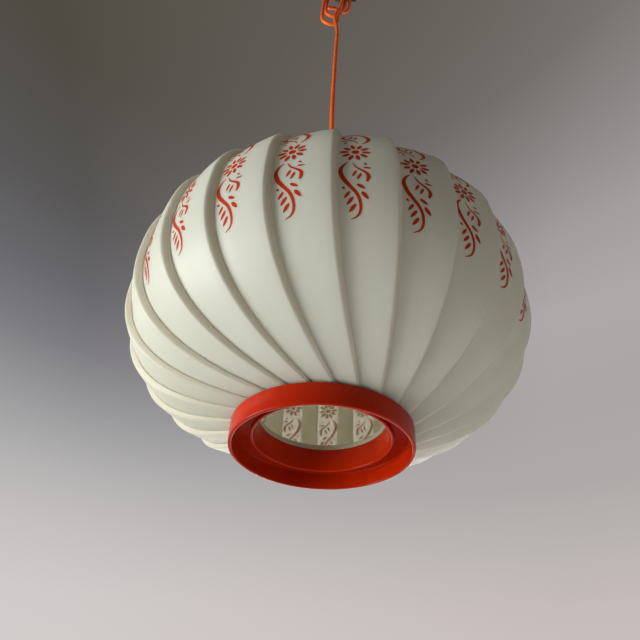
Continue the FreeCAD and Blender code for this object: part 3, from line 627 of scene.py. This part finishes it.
collar_gloss = collar_material()
lower = rounded([(r, h - DROP) for r, h in COLLAR_LINE], COLLAR_ROUND)
upper = rounded([(r, LAMP_H - h - DROP) for r, h in COLLAR_LINE[::-1]], COLLAR_ROUND)
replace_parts(lathe("collar_lower", lower, collar_gloss, "lamp"), "lower_collar")
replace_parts(lathe("collar_upper", upper, collar_gloss, "lamp"), "upper_collar")


# ---- finishes of the other parts ---------------------------------------------------------------
FINISHES = {
    "carrier": speckled("carrier_offwhite", (0.46, 0.42, 0.30), (0.40, 0.36, 0.25), 0.4, 600.0),
    "holder": speckled("holder_white", (0.78, 0.77, 0.72), (0.70, 0.68, 0.61),
                      0.34, 700.0, coat=0.15),
    "ring": speckled("ring_white", (0.74, 0.73, 0.68), (0.66, 0.64, 0.57), 0.38, 900.0, bumps=0.25),
    "ceramic": speckled("insert_ceramic", (0.80, 0.79, 0.75), (0.72, 0.70, 0.64),
                      0.6, 1200.0, bumps=0.3),
    "brass": speckled("socket_brass", (0.66, 0.45, 0.17), (0.50, 0.33, 0.12),
                      0.3, 500.0, metal=1.0),
    "zinc": speckled("screw_zinc", (0.56, 0.56, 0.58), (0.42, 0.42, 0.43), 0.35, 900.0, metal=1.0),
    "plug": speckled("plug_black", (0.018, 0.018, 0.019), (0.028, 0.028, 0.028),
                      0.48, 1500.0, bumps=0.35),
    "steel": speckled("hook_black_steel", (0.022, 0.022, 0.024), (0.045, 0.042, 0.038),
                      0.36, 800.0, metal=0.4),
}
NODE_FINISH = {
    "lower_carrier_ring": "carrier", "upper_carrier_ring": "carrier", "holder_disc": "holder",
    "holder_skirt": "holder", "holder_dome": "holder", "cord_grip": "holder",
    "shade_ring_upper": "ring", "shade_ring_lower": "ring", "holder_shell": "brass",
    "holder_contact": "brass", "holder_terminal_left": "brass", "holder_terminal_right": "brass",
    "holder_insert": "ceramic", "grip_screw": "zinc", "plug_body": "plug", "plug_pin_left": "brass",
    "plug_pin_right": "brass", "s_hook": "steel", "ceiling_plate": "steel", "ceiling_eye": "steel",
    "eye_nut": "zinc"}
for node, finish in NODE_FINISH.items():
    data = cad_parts[node].data
    data.materials.clear()
    data.materials.append(FINISHES[finish])


# ---- room -----------------------------------------------------------------------------------------
FLOOR_Z = -2.3
FLOOR_REACH = 14.0
MIDDLE = (0.0, 0.0, -0.93)    # what the lights aim at


def make_floor():
    reach = FLOOR_REACH
    mesh = bpy.data.meshes.new("floor")
    mesh.from_pydata([(-reach, -reach, FLOOR_Z), (reach, -reach, FLOOR_Z),
                      (reach, reach, FLOOR_Z), (-reach, reach, FLOOR_Z)], [], [(0, 1, 2, 3)])
    mat, tree, shader = material("pale_floor")
    tone = ramp(tree, noise(tree, coordinates(tree, (1, 1, 1)), 3.0), 0.3, 0.7, 0.0, 1.0)
    colour = mix(tree, tone, (0.66, 0.65, 0.64), (0.62, 0.61, 0.60))
    tree.links.new(colour, shader.inputs["Base Color"])
    shader.inputs["Roughness"].default_value = 0.8
    mesh.materials.append(mat)
    floor = bpy.data.objects.new("floor", mesh)
    bpy.context.scene.collection.objects.link(floor)


def gradient(tree, value, stops):
    """Colour ramp from (position, colour) stops, lowest first."""
    node = tree.nodes.new("ShaderNodeValToRGB")
    tree.links.new(value, node.inputs["Fac"])
    elements = node.color_ramp.elements
    elements[0].position, elements[0].color = 0.0, (*stops[0][1], 1)
    elements[1].position, elements[1].color = 1.0, (*stops[-1][1], 1)
    for where, colour in stops[1:-1]:
        elements.new(where).color = (*colour, 1)
    return node.outputs["Color"]


def make_world():
    """Soft surround, from pale low down to dim high up, with a left and a right side."""
    world = bpy.data.worlds.new("studio")
    bpy.context.scene.world = world
    world.use_nodes = True
    tree = world.node_tree
    place = tree.nodes.new("ShaderNodeTexCoord")
    split = tree.nodes.new("ShaderNodeSeparateXYZ")
    tree.links.new(place.outputs["Generated"], split.inputs["Vector"])
    left = gradient(tree, split.outputs["Z"], [
        (0.0, (0.66, 0.62, 0.61)), (0.17, (0.63, 0.59, 0.59)), (0.26, (0.56, 0.53, 0.53)),
        (0.35, (0.45, 0.44, 0.44)), (0.44, (0.32, 0.32, 0.33)), (0.53, (0.21, 0.205, 0.22)),
        (0.62, (0.14, 0.137, 0.148)), (0.72, (0.098, 0.094, 0.094)), (0.85, (0.078, 0.071, 0.056)),
        (1.0, (0.085, 0.077, 0.058))])
    right = gradient(tree, split.outputs["Z"], [
        (0.0, (0.62, 0.57, 0.55)), (0.18, (0.56, 0.50, 0.485)), (0.27, (0.49, 0.455, 0.435)),
        (0.36, (0.43, 0.40, 0.40)), (0.48, (0.41, 0.385, 0.38)), (0.62, (0.425, 0.395, 0.395)),
        (0.72, (0.365, 0.337, 0.337)), (0.80, (0.275, 0.255, 0.255)), (0.88, (0.19, 0.17, 0.16)),
        (1.0, (0.14, 0.12, 0.105))])
    side = ramp(tree, split.outputs["X"], -0.45, 0.42, 0.0, 1.0)
    background = tree.nodes["Background"]
    tree.links.new(mix(tree, side, left, right), background.inputs["Color"])
    dim = ramp(tree, split.outputs["Y"], -0.45, 0.05, 0.3, 1.0)
    tree.links.new(dim, background.inputs["Strength"])


def area_light(name, place, size, power, colour):
    """Rectangular soft light that aims at the middle of the shade."""
    data = bpy.data.lights.new(name, "AREA")
    data.shape = "RECTANGLE"
    data.size, data.size_y = size
    data.energy = power
    data.color = colour
    light = bpy.data.objects.new(name, data)
    light.location = place
    aim = Vector(MIDDLE) - Vector(place)
    light.rotation_euler = aim.to_track_quat("-Z", "Y").to_euler()
    light.visible_camera = False
    bpy.context.scene.collection.objects.link(light)


make_floor()
make_world()
area_light("window_left", (-2.1, -0.5, -1.35), (1.2, 1.4), 72.0, (0.97, 1.0, 0.98))
area_light("fill_right", (1.5, 0.1, -2.0), (1.2, 1.2), 7.0, (1.0, 0.96, 0.94))
area_light("wall_back", (0.2, 2.2, -1.0), (2.0, 1.6), 34.0, (1.0, 0.97, 0.93))
bpy.context.scene.view_settings.view_transform = "Standard"
